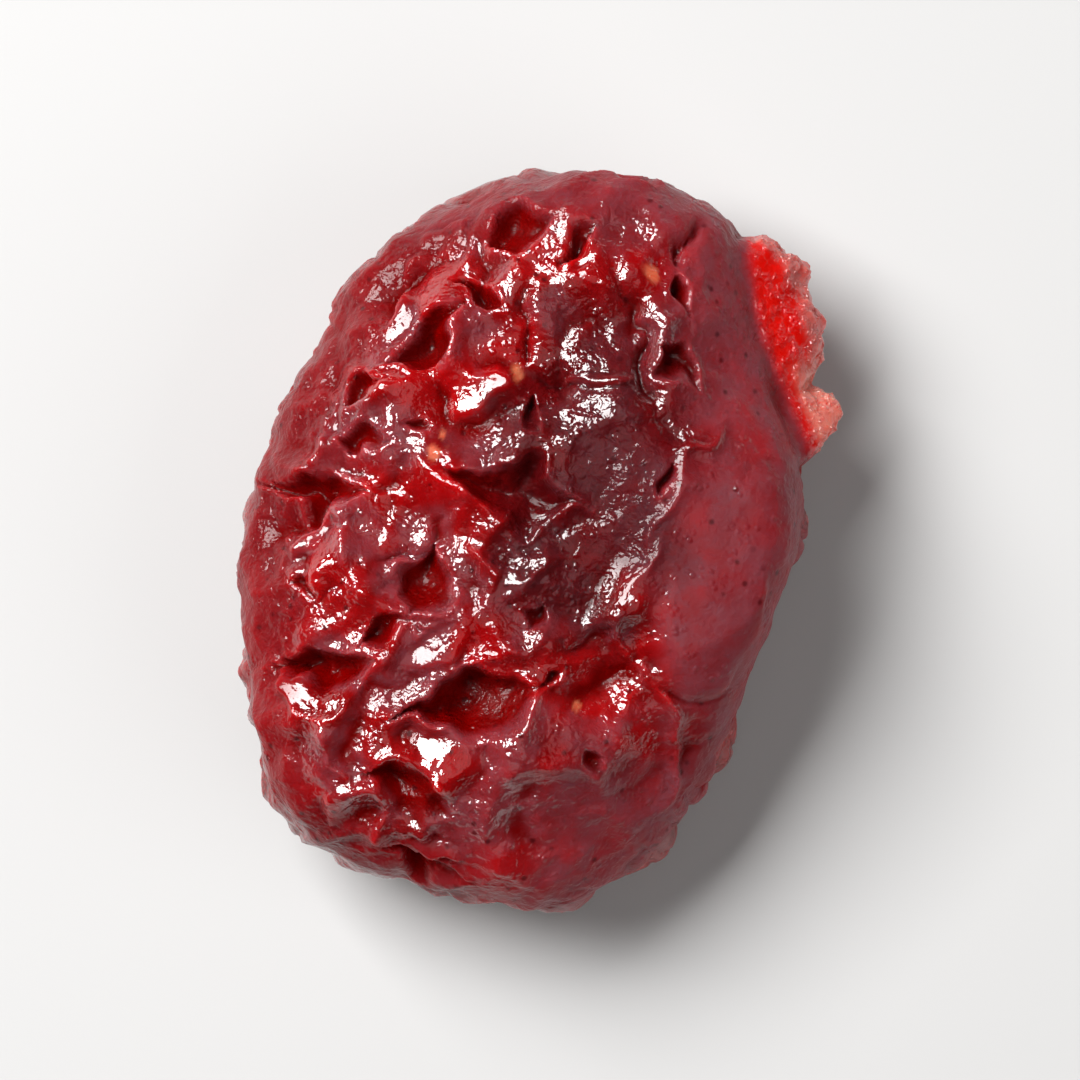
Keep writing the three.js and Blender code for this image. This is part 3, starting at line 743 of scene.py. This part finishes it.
def wetness(n, mask, moisture):
    """How strongly the skin mirrors: most on the crumpled top, least in folds and on the shoulder."""
    wet = n.ramp(moisture, 0.35, 0.50, 0.55, 1.0)
    wet = n.times(wet, n.ramp(mask["crumpled"], 0.3, 0.8, 0.3, 1.0))
    wet = n.times(wet, n.less(mask["dark"], 0.7))
    wet = n.larger(wet, mask["torn"])
    open_to_light = n.ramp(n.larger(mask["valley"], mask["hollow"]), 0.15, 0.8, 1.0, 0.08)
    open_to_light = n.times(open_to_light, n.less(mask["shoulder"], 0.2))
    open_to_light = n.times(open_to_light, n.less(mask["below"], 0.75))
    return n.times(wet, open_to_light)


def finest_relief(n, mask):
    """Wrinkles and ripples, weaker on the facets, beads of moisture, and drops on the torn flesh."""
    rough = n.less(mask["facet"], 0.45)
    size, height = WRINKLES
    wrinkles = n.math("ABSOLUTE", n.math("SUBTRACT", n.noise(size, 2, 0.5, 0.5), 0.5))
    normal = n.bump(n.times(wrinkles, rough), height)
    size, height = RIPPLES
    normal = n.bump(n.times(n.noise(size, 2, 0.6, 0.4), rough), height, normal)
    size, height = BEADS
    beads = n.ramp(n.cells(size), 0.0, 0.6, 1.0, 0.0)
    beads = n.times(beads, n.ramp(n.noise(0.0005, 0), 0.5, 0.7, 0.15, 1.0))
    normal = n.bump(beads, height, normal)
    size, height = DROPS
    drops = n.ramp(n.noise(size, 2), 0.42, 0.72)
    return n.bump(n.times(drops, mask["torn"]), height, normal)


def cranberry_material(mask_names):
    """Translucent flesh under a moist skin."""
    n = Nodes("cranberry_skin")
    mask = {name: n.mask(name) for name in mask_names}
    colour = n.mix(mask["torn"], skin_colour(n, mask), flesh_colour(n, mask))
    n.fill(n.shader.inputs["Base Color"], n.mix(n.times(mask["scar"], 0.7), colour, FLECK))
    moisture = n.noise(0.0013, 2)
    n.fill(n.shader.inputs["Roughness"], n.ramp(moisture, 0.35, 0.65, 0.26, 0.42))
    n.fill(n.shader.inputs["Coat Weight"], wetness(n, mask, moisture))
    normal = finest_relief(n, mask)
    n.fill(n.shader.inputs["Normal"], normal)
    n.fill(n.shader.inputs["Coat Normal"], normal)
    n.shader.inputs["Subsurface Weight"].default_value = 1.0
    n.shader.inputs["Subsurface Radius"].default_value = SPREAD
    n.shader.inputs["Subsurface Scale"].default_value = SPREAD_SCALE
    n.shader.inputs["IOR"].default_value = 1.45
    n.shader.inputs["Specular IOR Level"].default_value = 0.12
    n.shader.inputs["Coat Roughness"].default_value = 0.04
    n.shader.inputs["Coat IOR"].default_value = 1.8
    return n.material


def floor_material():
    n = Nodes("floor")
    n.shader.inputs["Base Color"].default_value = FLOOR
    n.shader.inputs["Roughness"].default_value = 0.6
    return n.material


# The object

points, quads, masks = berry_skin()
lowest, highest = points.min(axis=0), points.max(axis=0)
points = (points - [(lowest[0] + highest[0]) / 2, (lowest[1] + highest[1]) / 2, lowest[2]]) * MM
berry = mesh_object("berry", points, quads, masks)
berry.data.materials.append(cranberry_material(masks))
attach(berry, "root")
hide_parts("dried_cranberry")

# Floor, light and camera

FLOOR_SIZE = 0.6
TARGET = Vector((0, 0, 0.0035))  # what the lights face
WORLD_LIGHT = 0.015
LENS = 260
SENSOR = 36
VIEW_WIDTH = 0.0226  # how much the frame takes in, at the height of the berry's top

bpy.ops.mesh.primitive_plane_add(size=FLOOR_SIZE, location=(0, 0, 0))
floor = bpy.context.object
floor.name = "floor"
floor.data.materials.append(floor_material())


def softbox(name, location, size, power):
    """A square soft light that faces the berry."""
    light = bpy.data.lights.new(name, "AREA")
    light.size = size
    light.energy = power
    obj = bpy.data.objects.new(name, light)
    obj.location = location
    obj.rotation_euler = (TARGET - Vector(location)).to_track_quat("-Z", "Y").to_euler()
    bpy.context.scene.collection.objects.link(obj)
    return obj


softbox("key", (-0.13, 0.10, 0.20), 0.155, 1.36)
softbox("overhead", (0.07, -0.03, 0.34), 0.30, 0.11)
fill = softbox("fill", (0.24, -0.11, 0.17), 0.30, 0.40)
fill.visible_glossy = False  # it brightens the flesh, and nothing mirrors it

world = bpy.data.worlds.new("studio")
world.use_nodes = True
world.node_tree.nodes["Background"].inputs["Color"].default_value = (1, 1, 1, 1)
world.node_tree.nodes["Background"].inputs["Strength"].default_value = WORLD_LIGHT
bpy.context.scene.world = world
bpy.context.scene.view_settings.view_transform = "Standard"

camera_data = bpy.data.cameras.new("camera")
camera_data.lens = LENS
camera_data.sensor_width = SENSOR
camera_data.clip_start = 0.001
camera = bpy.data.objects.new("camera", camera_data)
camera.location = (0, 0, cad_box[1][2] + VIEW_WIDTH * LENS / SENSOR)
bpy.context.scene.collection.objects.link(camera)
bpy.context.scene.camera = camera
